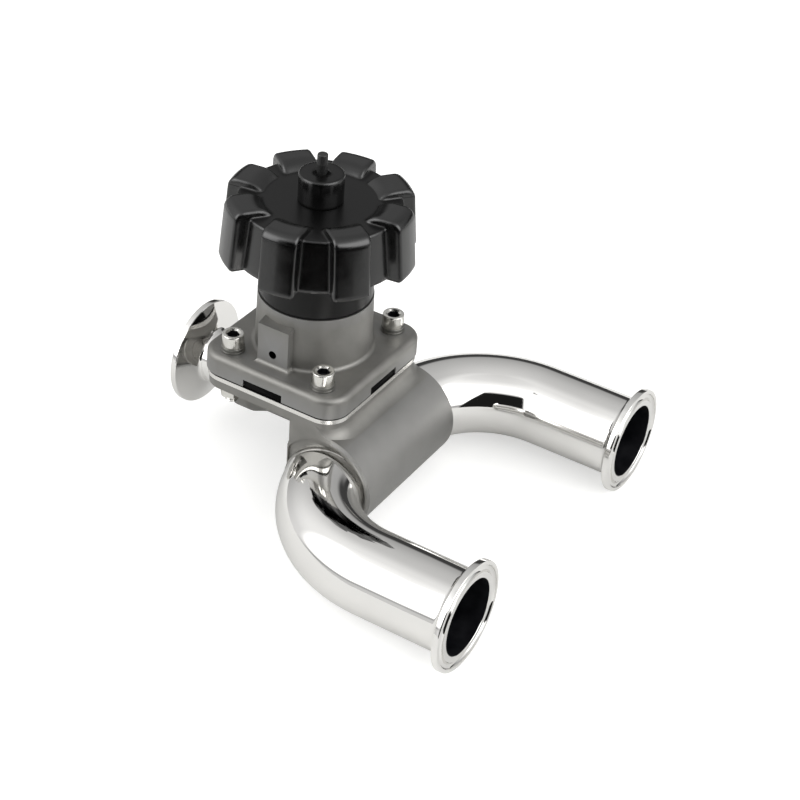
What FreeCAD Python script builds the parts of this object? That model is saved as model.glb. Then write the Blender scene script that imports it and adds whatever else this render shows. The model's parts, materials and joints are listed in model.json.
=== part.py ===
import FreeCAD, Part
import math
import os

# Three-way diaphragm valve with a header tube, two elbow ports and one smaller outlet port.
# Valve coordinates: the spindle stands on x = y = 0 and the header axis lies at z = 0, along Y.
# The two elbow ports open towards +X and the outlet port towards -X. All sizes are in millimetres.

# Header tube, elbows and the clamp ferrules that all three ports share
tube_od = 38.1
tube_wall = 1.5
elbow_radius = 51.0
port_reach = 130.0
port_pitch = 151.2
ferrule_od = 50.5
ferrule_rim = 2.85
ferrule_length = 21.5
ferrule_slope = 20.0
gasket_pitch = 43.6
gasket_groove = 1.6
weld_bead = 1.6
weld_rise = 0.6
rim_round = 0.5

# Outlet port
outlet_od = 25.4
outlet_wall = 1.5
outlet_reach = 61.8
outlet_height = 13.1
outlet_flare = 11.5
outlet_socket = 4.0
flare_mid_radius = 17.2
flare_mid_share = 0.42

# Cast body: header block, flange, bowl under the diaphragm and outlet boss
header_offset = 32.0
header_radius = 24.3
header_half = 37.0
header_edge = 1.0
end_recess_radius = 22.3
end_recess_depth = 1.0
flange_half_x = 36.6
flange_corner = 11.0
flange_top = 33.6
flange_thick = 7.0
flange_land = 2.4
land_step = 0.6
land_edge = 0.3
web_face = 12.4
web_edge = 1.5
saddle_round = 8.0
bowl_top_radius = 23.0
bowl_foot_radius = 15.5
bowl_foot = 8.0
boss_radius = 17.4
boss_neck_radius = 14.8
boss_reach = 34.0
boss_land = 9.0
boss_taper = 7.0
boss_blend = 4.0
boss_edge = 1.0
chamber_radius = 18.5
chamber_foot_radius = 11.3
passage_radius = 9.5
weir_thick = 6.0
weir_dip = 6.5

# Bolting
bolt_half_x = 24.1
bolt_half_y = 28.7
screw_size = 6.0
screw_head = 10.0
socket_flats = 5.0
socket_depth = 3.2
long_screw = 30.0
short_screw = 20.0
hole_clearance = 0.3
washer_od = 11.0
washer_thick = 1.0
spring_od = 10.6
spring_thick = 1.6
spring_slit = 0.8
spring_turn = 35.0
head_edge = 0.5
nut_flats = 10.0
nut_height = 5.0

# Diaphragm, clamped between body and bonnet
clamp_gap = 0.7
diaphragm_thick = 4.0
diaphragm_inset = 2.6
diaphragm_rise = 2.5
tab_width = 20.0
tab_shift = 1.5
tab_inset = 0.6

# Bonnet
bonnet_overhang = 0.4
bonnet_corner = 11.0
bonnet_top = 44.4
bonnet_edge = 2.8
neck_foot_radius = 26.6
neck_radius = 26.0
neck_top = 71.0
neck_blend = 2.0
boss_width = 16.0
boss_offset = -2.2
boss_face = 29.6
boss_height = 64.5
boss_slope = 1.2
weep_hole = 3.7
weep_height = 50.6
roof_thick = 4.7
bearing_seat_radius = 17.0
guide_width = 7.0
guide_reach = 3.0

# Spindle drive
spindle_od = 10.0
spindle_stand = 3.0
spindle_edge = 0.8
running = 0.05
sleeve_od = 18.0
collar_od = 29.0
collar_height = 5.0
thrust_od = 31.0
thrust_thick = 1.5
spigot_od = 13.0
spigot_height = 9.0
wheel_nut_flats = 14.0
wheel_nut_height = 4.5
key_width = 4.0
key_length = 22.0
key_seat = 2.4
key_setback = 2.0
seal_section = 1.1
compressor_radius = 17.5
compressor_foot = 7.0
stud_head = 10.0
stud_head_thick = 1.5
stud_size = 6.0
stud_grip = 7.0
cross_pin = 3.0
pin_inset = 1.0
seat_gap = 0.3

# Handwheel and hub cap
wheel_phase = 8.3
lobe_count = 8
lobe_width = 16.6
wheel_radius = 44.1
wheel_draft = 2.6
lobe_foot = 91.3
lobe_top = 120.5
lobe_round = 5.0
lobe_inner = 24.4
lobe_ramp = 4.1
lobe_ramp_round = 10.0
lobe_sink = 0.5
lobe_foot_round = 2.0
lobe_side_round = 1.5
lobe_wall = 3.0
drum_radius = 38.4
drum_wall = 2.8
drum_foot = 93.0
drum_round = 1.0
plate_top = 117.0
plate_thick = 3.5
skirt_radius = 25.6
skirt_wall = 2.4
hub_radius = 13.5
hub_rise = 4.0
rib_thick = 2.0
wheel_gap = 0.3
cap_radius = 10.05
cap_height = 13.25
cap_wall = 1.5
cap_edge = 0.9
pin_od = 4.7
pin_rest = 0.1
pin_grip = 9.0
pin_edge = 0.7
pin_seal_section = 0.65

# How far a cutting shape runs past what it cuts
overrun = 1.0

# Heights and radii that follow from the sizes above
stroke = weir_dip + diaphragm_rise
pin_rise = stroke + pin_rest
flange_half_y = header_half + land_step
bonnet_half_x = flange_half_x + bonnet_overhang
bonnet_half_y = flange_half_y + bonnet_overhang
flange_foot = flange_top - flange_thick
land_foot = flange_top - flange_land
tube_radius = tube_od / 2
bore_radius = tube_radius - tube_wall
port_y = port_pitch / 2
outlet_radius = outlet_od / 2
outlet_bore = outlet_radius - outlet_wall
ferrule_radius = ferrule_od / 2
bonnet_foot = flange_top + clamp_gap
diaphragm_top = flange_top + diaphragm_thick
dome_top = diaphragm_top + diaphragm_rise
compressor_base = dome_top + seat_gap
compressor_top = compressor_base + compressor_foot + guide_width
roof_foot = compressor_top + seat_gap
bearing_floor = roof_foot + roof_thick
collar_foot = bearing_floor + thrust_thick
collar_top = collar_foot + collar_height
bearing_cap_foot = collar_top + thrust_thick
sleeve_radius = sleeve_od / 2
spindle_radius = spindle_od / 2
web_foot = plate_top - plate_thick
web_middle = plate_top - plate_thick / 2
spindle_top = plate_top + seat_gap + spindle_stand
cap_top = plate_top + cap_height
wheel_foot = neck_top + wheel_gap

# The row origin lies on the ground, under the middle of the outline
origin_x = (port_reach - outlet_reach) / 2
origin_z = -max(ferrule_radius, header_radius)


def vec(x, y, z):
    return FreeCAD.Vector(x, y, z)


X_AXIS = vec(1, 0, 0)
Y_AXIS = vec(0, 1, 0)
Z_AXIS = vec(0, 0, 1)


def save(name, *solids):
    """Write one node, moved from valve coordinates to the row frame."""
    shape = solids[0] if len(solids) == 1 else Part.makeCompound(list(solids))
    shape = shape.copy()
    shape.translate(vec(-origin_x, 0, -origin_z))
    shape.exportStep("parts/" + name + ".step")
    print(name, len(shape.Solids), "solids", round(shape.Volume / 1000, 2), "cm3")


def rod(radius, low, high, x=0, y=0):
    return Part.makeCylinder(radius, high - low, vec(x, y, low), Z_AXIS)


def tube(outer, inner, low, high, x=0, y=0):
    return rod(outer, low, high, x, y).cut(rod(inner, low - overrun, high + overrun, x, y))


def outline(points):
    """Face from (radius, height) points in the XZ plane; a third value is the rounding of that corner."""
    corners = [vec(point[0], 0, point[1]) for point in points]
    starts, ends, edges = [], [], []
    for i, point in enumerate(points):
        here = corners[i]
        rounding = point[2] if len(point) > 2 else 0
        before = corners[i - 1].sub(here).normalize()
        after = corners[(i + 1) % len(corners)].sub(here).normalize()
        half = before.getAngle(after) / 2
        starts.append(here + before * (rounding / math.tan(half)))
        ends.append(here + after * (rounding / math.tan(half)))
        if rounding:
            towards = before.add(after).normalize()
            middle = here + towards * (rounding / math.sin(half) - rounding)
            edges.append(Part.Arc(starts[-1], middle, ends[-1]).toShape())
    for i, end in enumerate(ends):
        edges.append(Part.makeLine(end, starts[(i + 1) % len(starts)]))
    return Part.Face(Part.Wire(Part.__sortEdges__(edges)))


def turned(points, angle=360.0):
    """Solid of revolution about Z from (radius, height) or (radius, height, rounding) points."""
    return outline(points).revolve(vec(0, 0, 0), Z_AXIS, angle)


def ring(major, minor, height):
    return Part.makeTorus(major, minor, vec(0, 0, height), Z_AXIS)


def block(x_low, x_high, y_low, y_high, z_low, z_high):
    return Part.makeBox(x_high - x_low, y_high - y_low, z_high - z_low, vec(x_low, y_low, z_low))


def hexagon(flats, low, high, x=0, y=0):
    reach = flats / math.sqrt(3)
    corners = [vec(x + reach * math.cos(math.radians(a)), y + reach * math.sin(math.radians(a)), low)
               for a in range(0, 360, 60)]
    face = Part.Face(Part.makePolygon(corners + corners[:1]))
    return face.extrude(vec(0, 0, high - low))


def rounded_plate(half_x, half_y, corner, low, high):
    """Plate with straight sides and round corners."""
    plate = block(-half_x, half_x, -half_y, half_y, low, high)
    uprights = [e for e in plate.Edges if abs(e.tangentAt(e.FirstParameter).z) > 0.99]
    return plate.makeFillet(corner, uprights)


def level_edges(shape, height):
    return [e for e in shape.Edges
            if abs(e.BoundBox.ZMin - height) < 1e-3 and abs(e.BoundBox.ZMax - height) < 1e-3]


def bolt_places():
    return [(sx * bolt_half_x, sy * bolt_half_y) for sx in (-1, 1) for sy in (-1, 1)]


def screw_hole(low, high, x, y):
    return rod(screw_size / 2 + hole_clearance, low - overrun, high + overrun, x, y)


def flat_washer(low, x, y):
    return tube(washer_od / 2, screw_size / 2 + hole_clearance, low, low + washer_thick, x, y)


def along_x(shape, x, y, z, towards=1):
    """Turn a shape that stands on Z until its height points along X, with its foot at (x, y, z)."""
    shape = shape.copy()
    shape.rotate(vec(0, 0, 0), Y_AXIS, 90 * towards)
    shape.translate(vec(x, y, z))
    return shape


def elbow_path(side):
    """Centre line of one port: an arc that starts inside the header and a straight run to the ferrule."""
    start = vec(header_offset, side * (port_y - elbow_radius), 0)
    turn = math.sqrt(0.5) * elbow_radius
    middle = vec(header_offset + elbow_radius - turn, side * (port_y - elbow_radius + turn), 0)
    bend_end = vec(header_offset + elbow_radius, side * port_y, 0)
    straight_end = vec(port_reach - ferrule_length, side * port_y, 0)
    arc = Part.Arc(start, middle, bend_end).toShape()
    run = Part.LineSegment(bend_end, straight_end).toShape()
    return Part.Wire([arc, run])


def elbow_solid(side, radius):
    path = elbow_path(side)
    start = path.Edges[0].Vertexes[0].Point
    section = Part.Wire(Part.makeCircle(radius, start, vec(0, side, 0)))
    return path.makePipeShell([section], True, False)


def elbow(side):
    """Bent tube with the weld bead that closes it to the header's end face."""
    outer = elbow_solid(side, tube_radius)
    drift = math.asin((header_half - port_y + elbow_radius) / elbow_radius)
    bead_x = header_offset + elbow_radius * (1 - math.cos(drift))
    bead_y = side * header_half
    lean = vec(math.sin(drift), side * math.cos(drift), 0)
    bead = Part.makeTorus(tube_radius + weld_rise - weld_bead, weld_bead, vec(bead_x, bead_y, 0), lean)
    floor = header_half - end_recess_depth
    reach = header_radius + elbow_radius
    keep = block(header_offset - reach, header_offset + reach, floor, floor + tube_radius, -reach, reach)
    if side < 0:
        keep = keep.mirror(vec(0, 0, 0), Y_AXIS)
    joined = outer.fuse(bead.common(keep))
    return joined.cut(elbow_solid(side, bore_radius)).removeSplitter()


def ferrule_profile(radius, length, neck, slope):
    """Turned outline of a clamp ferrule: face at height 0, tube end at the given length."""
    fall = (radius - neck) * math.tan(math.radians(slope))
    return [(neck, length), (neck, ferrule_rim + fall), (radius, ferrule_rim), (radius, 0)]


def clamp_ferrule(bore):
    outline = ferrule_profile(ferrule_radius, ferrule_length, tube_radius, ferrule_slope)
    body = turned([(bore, 0), (bore, ferrule_length)] + outline)
    rims = [e for e in body.Edges
            if abs(e.BoundBox.XMax - ferrule_radius) < 1e-3 and e.BoundBox.ZMax < ferrule_rim + 1e-3]
    body = body.makeFillet(rim_round, [e for e in rims if e.Length > ferrule_radius])
    return body.cut(ring(gasket_pitch / 2, gasket_groove, 0))


def port_ferrule(side):
    return along_x(clamp_ferrule(bore_radius), port_reach, side * port_y, 0, -1)


def outlet_ferrule():
    """Ferrule with a flared neck that narrows to the smaller outlet tube."""
    length = outlet_reach - boss_reach + outlet_socket
    flare_end = ferrule_rim + outlet_flare
    rim = Part.LineSegment(vec(ferrule_radius, 0, 0), vec(ferrule_radius, 0, ferrule_rim)).toShape()
    middle = vec(flare_mid_radius, 0, ferrule_rim + outlet_flare * flare_mid_share)
    flare = Part.Arc(vec(ferrule_radius, 0, ferrule_rim), middle, vec(outlet_radius, 0, flare_end)).toShape()
    corners = [vec(outlet_radius, 0, flare_end), vec(outlet_radius, 0, length),
               vec(outlet_bore, 0, length), vec(outlet_bore, 0, 0), vec(ferrule_radius, 0, 0)]
    rest = Part.makePolygon(corners)
    face = Part.Face(Part.Wire([rim, flare] + rest.Edges))
    body = face.revolve(vec(0, 0, 0), Z_AXIS, 360)
    body = body.cut(ring(gasket_pitch / 2, gasket_groove, 0))
    return along_x(body, -outlet_reach, 0, outlet_height, 1)


def header_bar():
    """Header cylinder with broken outer edges and a back that lies flush with the web."""
    bar = Part.makeCylinder(header_radius, 2 * header_half, vec(header_offset, -header_half, 0), Y_AXIS)
    ends = [e for e in bar.Edges if e.Length > 2 * header_radius and e.BoundBox.YLength < 1e-3]
    reach_y, reach_z = header_half + overrun, header_radius + overrun
    back = block(header_offset - header_radius - overrun, web_face, -reach_y, reach_y, -reach_z, reach_z)
    return bar.makeChamfer(header_edge, ends).cut(back)


def saddle():
    """Concave blend from the flange's front side down to the header, carried round its two front corners."""
    wall = flange_half_x - land_step
    reach = wall + saddle_round - header_offset
    centre = math.sqrt((header_radius + saddle_round) ** 2 - reach ** 2)
    touch = header_radius / (header_radius + saddle_round)
    foot = vec(header_offset + reach * touch, 0, centre * touch)
    ball = vec(wall + saddle_round, 0, centre)
    start = vec(wall, 0, centre)
    lean = start.sub(ball).add(foot.sub(ball)).normalize()
    arc = Part.Arc(start, ball + lean * saddle_round, foot).toShape()
    core = wall - flange_corner
    corners = [foot, vec(foot.x, 0, 0), vec(core, 0, 0), vec(core, 0, centre), start]
    face = Part.Face(Part.Wire([arc] + Part.makePolygon(corners).Edges))
    straight = header_half - flange_corner
    run = face.copy()
    run.translate(vec(0, -straight, 0))
    pieces = [run.extrude(vec(0, 2 * straight, 0))]
    for side in (-1, 1):
        pivot = face.copy()
        pivot.translate(vec(0, side * straight, 0))
        pieces.append(pivot.revolve(vec(core, side * straight, 0), Z_AXIS, side * 90.0))
    keep = block(web_face, foot.x + overrun, -header_half, header_half, 0, flange_top)
    return pieces[0].fuse(pieces[1:]).common(keep)


def body_casting():
    """Outside of the cast body, before its passages are cut."""
    land = rounded_plate(flange_half_x, flange_half_y, flange_corner, land_foot, flange_top)
    land = land.makeChamfer(land_edge, level_edges(land, flange_top))
    cast_half_x = flange_half_x - land_step
    cast_half_y = flange_half_y - land_step
    flange = rounded_plate(cast_half_x, cast_half_y, flange_corner - land_step, flange_foot, land_foot)
    web = block(web_face, header_offset, -header_half, header_half, 0, land_foot)
    near = [e for e in web.Edges if abs(e.BoundBox.XMax - web_face) < 1e-3
            and abs(e.tangentAt(e.FirstParameter).z) > 0.99]
    web = web.makeFillet(web_edge, near)
    post = rounded_plate(cast_half_x, cast_half_y, flange_corner - land_step, 0, land_foot)
    web = web.common(post)
    bowl = turned([(0, bowl_foot), (bowl_foot_radius, bowl_foot),
                   (bowl_top_radius, land_foot), (0, land_foot)])
    boss = turned([(0, 0), (boss_radius, 0, boss_edge), (boss_radius, boss_land, boss_blend),
                   (boss_neck_radius, boss_land + boss_taper, boss_blend),
                   (boss_neck_radius, boss_reach + web_face), (0, boss_reach + web_face)])
    boss = along_x(boss, -boss_reach, 0, outlet_height)
    shape = header_bar().fuse([land, flange, web, saddle(), bowl, boss])
    return shape.removeSplitter()


def weir():
    """Wall across the chamber, with a crest that dips in the middle."""
    radius = (chamber_radius ** 2 + weir_dip ** 2) / (2 * weir_dip)
    centre = flange_top - weir_dip + radius
    reach = chamber_radius + overrun
    wall = block(-weir_thick / 2, weir_thick / 2, -reach, reach, 0, flange_top + overrun)
    start = vec(-weir_thick / 2 - overrun, 0, centre)
    crest = Part.makeCylinder(radius, weir_thick + 2 * overrun, start, X_AXIS)
    return wall.cut(crest)


def valve_body():
    """Cast body with its header bore, elbow sockets, chamber, weir and outlet bore."""
    casting = body_casting()
    bore = Part.makeCylinder(bore_radius, 2 * header_half, vec(header_offset, -header_half, 0), Y_AXIS)
    chamber = turned([(0, outlet_height), (chamber_foot_radius, outlet_height),
                      (chamber_radius, flange_top), (chamber_radius, flange_top + overrun),
                      (0, flange_top + overrun)])
    outlet = along_x(rod(outlet_bore, 0, boss_reach - weir_thick / 2), -boss_reach, 0, outlet_height)
    foot = vec(header_offset, 0, 0)
    mouth = vec((weir_thick / 2 + chamber_radius) / 2, 0, flange_top - weir_dip)
    slope = mouth.sub(foot)
    passage = Part.makeCylinder(passage_radius, slope.Length, foot, slope)
    chamber = chamber.fuse([outlet, passage]).cut(weir())
    socket = along_x(rod(outlet_radius + running, -overrun, outlet_socket), -boss_reach, 0, outlet_height)
    shape = casting.cut([bore, chamber, socket])
    for side in (-1, 1):
        shape = shape.cut(elbow_solid(side, tube_radius))
        face = vec(header_offset, side * (header_half - end_recess_depth), 0)
        recess = Part.makeCylinder(end_recess_radius, 2 * end_recess_depth, face, vec(0, side, 0))
        front = block(header_offset - tube_radius, header_offset + header_radius, -port_y, port_y,
                      -header_radius, header_radius)
        shape = shape.cut(recess.common(front))
    for x, y in bolt_places():
        if x < 0:
            hole = rod(screw_size / 2 + hole_clearance, 0, flange_top + overrun, x, y)
        else:
            hole = rod(screw_size / 2, short_screw_tip() - hole_clearance, flange_top + overrun, x, y)
        shape = shape.cut(hole)
    return shape.removeSplitter()


def head_seat():
    return bonnet_top + washer_thick + spring_thick


def short_screw_tip():
    return head_seat() - short_screw - (bonnet_top - bonnet_foot) / 2


def cap_screw(x, y, tip):
    """Socket head cap screw, its tip at the given height."""
    seat = head_seat()
    head = rod(screw_head / 2, seat, seat + screw_size, x, y)
    head = head.makeChamfer(head_edge, level_edges(head, seat + screw_size))
    shank = rod(screw_size / 2, tip, seat, x, y)
    top = seat + screw_size
    return head.fuse(shank).cut(hexagon(socket_flats, top - socket_depth, top + overrun, x, y))


def spring_washer(x, y):
    low = bonnet_top + washer_thick
    body = tube(spring_od / 2, screw_size / 2 + hole_clearance, low, low + spring_thick, x, y)
    slit = block(x, x + spring_od, y - spring_slit / 2, y + spring_slit / 2,
                 low - overrun, low + spring_thick + overrun)
    slit.rotate(vec(x, y, low), Z_AXIS, spring_turn)
    return body.cut(slit)


def diaphragm():
    """Rubber diaphragm: clamped plate with side tabs and a domed centre that holds the stud's head."""
    half_x = bonnet_half_x - diaphragm_inset
    half_y = bonnet_half_y - diaphragm_inset
    plate = rounded_plate(half_x, half_y, bonnet_corner - diaphragm_inset, flange_top, diaphragm_top)
    tab_reach_x = bonnet_half_x - tab_inset
    tab_reach_y = bonnet_half_y - tab_inset
    half = tab_width / 2
    tabs_y = block(-tab_shift - half, half - tab_shift, -tab_reach_y, tab_reach_y, bonnet_foot, diaphragm_top)
    tabs_x = block(-tab_reach_x, tab_reach_x, tab_shift - half, tab_shift + half, bonnet_foot, diaphragm_top)
    plate = plate.fuse([tabs_y, tabs_x])
    plate = plate.cut(rod(chamber_radius, flange_top - overrun, diaphragm_top + overrun))
    radius = (chamber_radius ** 2 + diaphragm_rise ** 2) / (2 * diaphragm_rise)
    low_centre = flange_top + diaphragm_rise - radius
    ball_low = Part.makeSphere(radius, vec(0, 0, low_centre))
    ball_high = Part.makeSphere(radius, vec(0, 0, low_centre + diaphragm_thick))
    disc = rod(chamber_radius, flange_top, dome_top + overrun)
    dome = disc.common(ball_high).cut(ball_low)
    head_low, head_high = stud_head_heights()
    head, shank = stud_head / 2 + running, stud_size / 2 + running
    pocket = turned([(0, head_low - running), (head, head_low - running), (head, head_high + running),
                     (shank, head_high + running), (shank, dome_top + overrun), (0, dome_top + overrun)])
    shape = plate.fuse(dome).cut(pocket)
    for x, y in bolt_places():
        shape = shape.cut(screw_hole(flange_top, diaphragm_top, x, y))
    return shape.removeSplitter()


def stud_head_heights():
    low = dome_top - (diaphragm_thick + stud_head_thick) / 2
    return low, low + stud_head_thick


def diaphragm_stud():
    low, high = stud_head_heights()
    return rod(stud_head / 2, low, high).fuse(rod(stud_size / 2, high, compressor_base + stud_grip))


def compressor():
    """Guided pressure piece: convex foot that follows the weir, with two side keys."""
    weir_radius = (chamber_radius ** 2 + weir_dip ** 2) / (2 * weir_dip)
    foot_radius = weir_radius - diaphragm_thick - seat_gap
    centre = compressor_base + foot_radius
    blank = rod(compressor_radius, compressor_base, compressor_top)
    reach = compressor_radius + overrun
    foot = Part.makeCylinder(foot_radius, 2 * reach, vec(-reach, 0, centre), X_AXIS)
    slab = block(-compressor_radius, compressor_radius, -compressor_radius, compressor_radius,
                 centre, compressor_top + foot_radius)
    shape = blank.common(foot.fuse(slab))
    key_reach = compressor_radius + guide_reach - seat_gap
    half = guide_width / 2 - running
    keys = block(-key_reach, key_reach, -half, half, compressor_top - guide_width, compressor_top)
    shape = shape.fuse(keys)
    socket = rod(spindle_radius + running, spindle_foot() - running, compressor_top + overrun)
    thread = rod(stud_size / 2, compressor_base - overrun, compressor_base + stud_grip)
    cross = Part.makeCylinder(cross_pin / 2, 2 * compressor_radius,
                              vec(0, -compressor_radius, cross_height()), Y_AXIS)
    return shape.cut([socket, thread, cross]).removeSplitter()


def spindle_foot():
    return compressor_base + stud_grip + seat_gap


def cross_height():
    return (spindle_foot() + compressor_top) / 2


def compressor_pin():
    reach = compressor_radius - pin_inset
    return Part.makeCylinder(cross_pin / 2, 2 * reach, vec(0, -reach, cross_height()), Y_AXIS)


def spindle():
    """Rising spindle with the cross hole for its pin and a socket for the indicator pin."""
    shape = rod(spindle_radius, spindle_foot(), spindle_top)
    shape = shape.makeChamfer(spindle_edge, level_edges(shape, spindle_top))
    reach = spindle_radius + overrun
    cross = Part.makeCylinder(cross_pin / 2, 2 * reach, vec(0, -reach, cross_height()), Y_AXIS)
    return shape.cut([cross, rod(pin_od / 2, spindle_top - pin_grip, spindle_top + overrun)])


def indicator_pin():
    shape = rod(pin_od / 2, spindle_top - pin_grip, cap_top + pin_rise)
    return shape.makeFillet(pin_edge, level_edges(shape, cap_top + pin_rise))


def bonnet():
    """Cast bonnet: flange with a lip round the diaphragm, neck, weep boss, guides and bearing seat."""
    flange = rounded_plate(bonnet_half_x, bonnet_half_y, bonnet_corner, bonnet_foot, bonnet_top)
    flange = flange.makeFillet(bonnet_edge, level_edges(flange, bonnet_top))
    rooted = (bonnet_foot + bonnet_top) / 2
    neck = turned([(0, rooted), (neck_foot_radius, rooted), (neck_foot_radius, bonnet_top),
                   (neck_radius, neck_top), (0, neck_top)])
    fan = [vec(0, -boss_face, bonnet_top), vec(0, -boss_face, boss_height),
           vec(0, -neck_radius + overrun, boss_height + boss_slope), vec(0, 0, boss_height + boss_slope),
           vec(0, 0, rooted), vec(0, -boss_face, rooted)]
    side = Part.Face(Part.makePolygon(fan + fan[:1]))
    weep_boss = side.extrude(vec(boss_width, 0, 0))
    weep_boss.translate(vec(boss_offset - boss_width / 2, 0, 0))
    shape = flange.fuse([neck, weep_boss]).removeSplitter()
    inner_x = bonnet_half_x - bonnet_edge - overrun
    inner_y = bonnet_half_y - bonnet_edge - overrun
    roots = [e for e in level_edges(shape, bonnet_top)
             if e.BoundBox.XMax < inner_x and e.BoundBox.YMax < inner_y and e.BoundBox.YMin > -inner_y]
    shape = shape.makeFillet(neck_blend, roots)
    seat_inset = diaphragm_inset - running
    seat = rounded_plate(bonnet_half_x - seat_inset, bonnet_half_y - seat_inset, bonnet_corner - seat_inset,
                         bonnet_foot - overrun, diaphragm_top)
    half = tab_width / 2 + seat_gap
    wide_x = bonnet_half_x + overrun
    wide_y = bonnet_half_y + overrun
    window_y = block(-tab_shift - half, half - tab_shift, -wide_y, wide_y,
                     bonnet_foot - overrun, diaphragm_top + seat_gap)
    window_x = block(-wide_x, wide_x, tab_shift - half, tab_shift + half,
                     bonnet_foot - overrun, diaphragm_top + seat_gap)
    cavity = rod(compressor_radius + seat_gap, bonnet_foot - overrun, roof_foot)
    mouth = rod(chamber_radius + running, bonnet_foot - overrun, dome_top + seat_gap)
    reach = compressor_radius + guide_reach
    guides = block(-reach, reach, -guide_width / 2, guide_width / 2, bonnet_foot - overrun, roof_foot)
    stem = rod(spindle_radius + seat_gap, roof_foot - overrun, bearing_floor + overrun)
    groove = rod(seal_radius() + seal_section, seal_height() - seal_section, seal_height() + seal_section)
    bearing = rod(bearing_seat_radius, bearing_floor, neck_top + overrun)
    weep = Part.makeCylinder(weep_hole / 2, boss_face,
                             vec(boss_offset, -boss_face - overrun, weep_height), Y_AXIS)
    shape = shape.cut([seat, window_y, window_x, cavity, mouth, guides, stem, groove, bearing, weep])
    for x, y in bolt_places():
        shape = shape.cut(screw_hole(bonnet_foot, bonnet_top, x, y))
    return shape.removeSplitter()


def seal_radius():
    return spindle_radius + running + seal_section


def seal_height():
    return (roof_foot + bearing_floor) / 2


def drive_sleeve():
    """Turning sleeve with a thrust collar, a keyseat and a threaded spigot for the wheel nut."""
    hole = spindle_radius + running
    outline = [(hole, bearing_floor + seat_gap), (sleeve_radius, bearing_floor + seat_gap),
               (sleeve_radius, collar_foot), (collar_od / 2, collar_foot), (collar_od / 2, collar_top),
               (sleeve_radius, collar_top), (sleeve_radius, web_foot), (spigot_od / 2, web_foot),
               (spigot_od / 2, plate_top + spigot_height), (hole, plate_top + spigot_height)]
    return turned(outline).cut(drive_key())


def key_far():
    """Radius that the key reaches, part of its height standing out of the sleeve."""
    return sleeve_radius + key_width - key_seat


def drive_key():
    high = web_foot - key_setback
    return block(sleeve_radius - key_seat, key_far(), -key_width / 2, key_width / 2, high - key_length, high)


def bearing_cap():
    """Threaded cap that holds the thrust collar down."""
    groove_radius = sleeve_radius + running + 2 * seal_section
    middle = (bearing_cap_foot + neck_top) / 2
    shape = tube(bearing_seat_radius, sleeve_radius + running, bearing_cap_foot, neck_top)
    return shape.cut(rod(groove_radius, middle - seal_section, middle + seal_section))


def lobe_blank():
    """Ring with the outline of a grip lobe, turned all the way round."""
    seam = drum_radius - drum_wall / 2
    return turned([(seam, lobe_foot), (wheel_radius, lobe_foot, lobe_foot_round),
                   (wheel_radius - wheel_draft, lobe_top, lobe_round),
                   (lobe_inner + lobe_ramp, lobe_top, lobe_ramp_round), (lobe_inner, plate_top - lobe_sink),
                   (lobe_inner, web_middle), (seam - wheel_draft, web_middle)])


def lobes():
    """Grip lobes with straight sides, each one cut from the turned ring and rounded along its sides."""
    half = lobe_width / 2
    bar = lobe_blank().common(block(0, wheel_radius + overrun, -half, half, 0, lobe_top + overrun))
    above = plate_top - lobe_sink - 1e-3
    sides = [e for e in bar.Edges if e.BoundBox.YLength < 1e-3
             and (e.BoundBox.XMin > drum_radius + overrun
                  or e.BoundBox.ZMin > above and e.BoundBox.XMax > lobe_inner + overrun)]
    bar = bar.makeFillet(lobe_side_round, sides)
    return around_wheel(bar)


def around_wheel(shape, pitches=0.0):
    """Copies of a shape at every lobe, or a share of the pitch further on."""
    copies = []
    for i in range(lobe_count):
        copy = shape.copy()
        copy.rotate(vec(0, 0, 0), Z_AXIS, wheel_phase + (i + pitches) * 360.0 / lobe_count)
        copies.append(copy)
    return copies


def lobe_core():
    """Hollow inside a lobe, open at the foot and towards the drum."""
    half = lobe_width / 2 - lobe_wall
    inner = drum_radius - wheel_draft - drum_wall - overrun
    roof = lobe_top - lobe_round - lobe_wall
    hollow = turned([(inner, lobe_foot - overrun), (wheel_radius - lobe_wall, lobe_foot - overrun),
                     (wheel_radius - wheel_draft - lobe_wall, roof), (inner, roof)])
    return hollow.common(block(0, wheel_radius, -half, half, 0, lobe_top))


def handwheel():
    """Moulded handwheel: drafted drum, hollow grip lobes, hub with keyway, skirt and ribs."""
    inner = drum_radius - drum_wall
    drum = turned([(0, web_foot), (inner - wheel_draft, web_foot), (inner, drum_foot),
                   (drum_radius, drum_foot), (drum_radius - wheel_draft, plate_top, drum_round),
                   (0, plate_top)])
    hub = rod(hub_radius, wheel_foot + hub_rise, web_middle)
    skirt = tube(skirt_radius, skirt_radius - skirt_wall, wheel_foot, web_middle)
    rib = block(hub_radius - overrun, inner - wheel_draft + overrun, -rib_thick / 2, rib_thick / 2,
                drum_foot + hub_rise, web_middle)
    shape = drum.fuse(lobes() + [hub, skirt] + around_wheel(rib, 0.5))
    bore = rod(sleeve_radius + running, wheel_foot - overrun, web_foot)
    spigot = rod(spigot_od / 2 + running, web_foot - overrun, plate_top + overrun)
    keyway = block(0, key_far() + running, -key_width / 2, key_width / 2,
                   wheel_foot - overrun, web_foot - overrun)
    return shape.cut(around_wheel(lobe_core()) + [bore, spigot, keyway]).removeSplitter()


def wheel_washer():
    outer = cap_radius - cap_wall - seat_gap
    return tube(outer, spigot_od / 2 + running, plate_top, plate_top + washer_thick)


def wheel_nut():
    low = plate_top + washer_thick
    high = low + wheel_nut_height
    return hexagon(wheel_nut_flats, low, high).cut(rod(spigot_od / 2, low - overrun, high + overrun))


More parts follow.
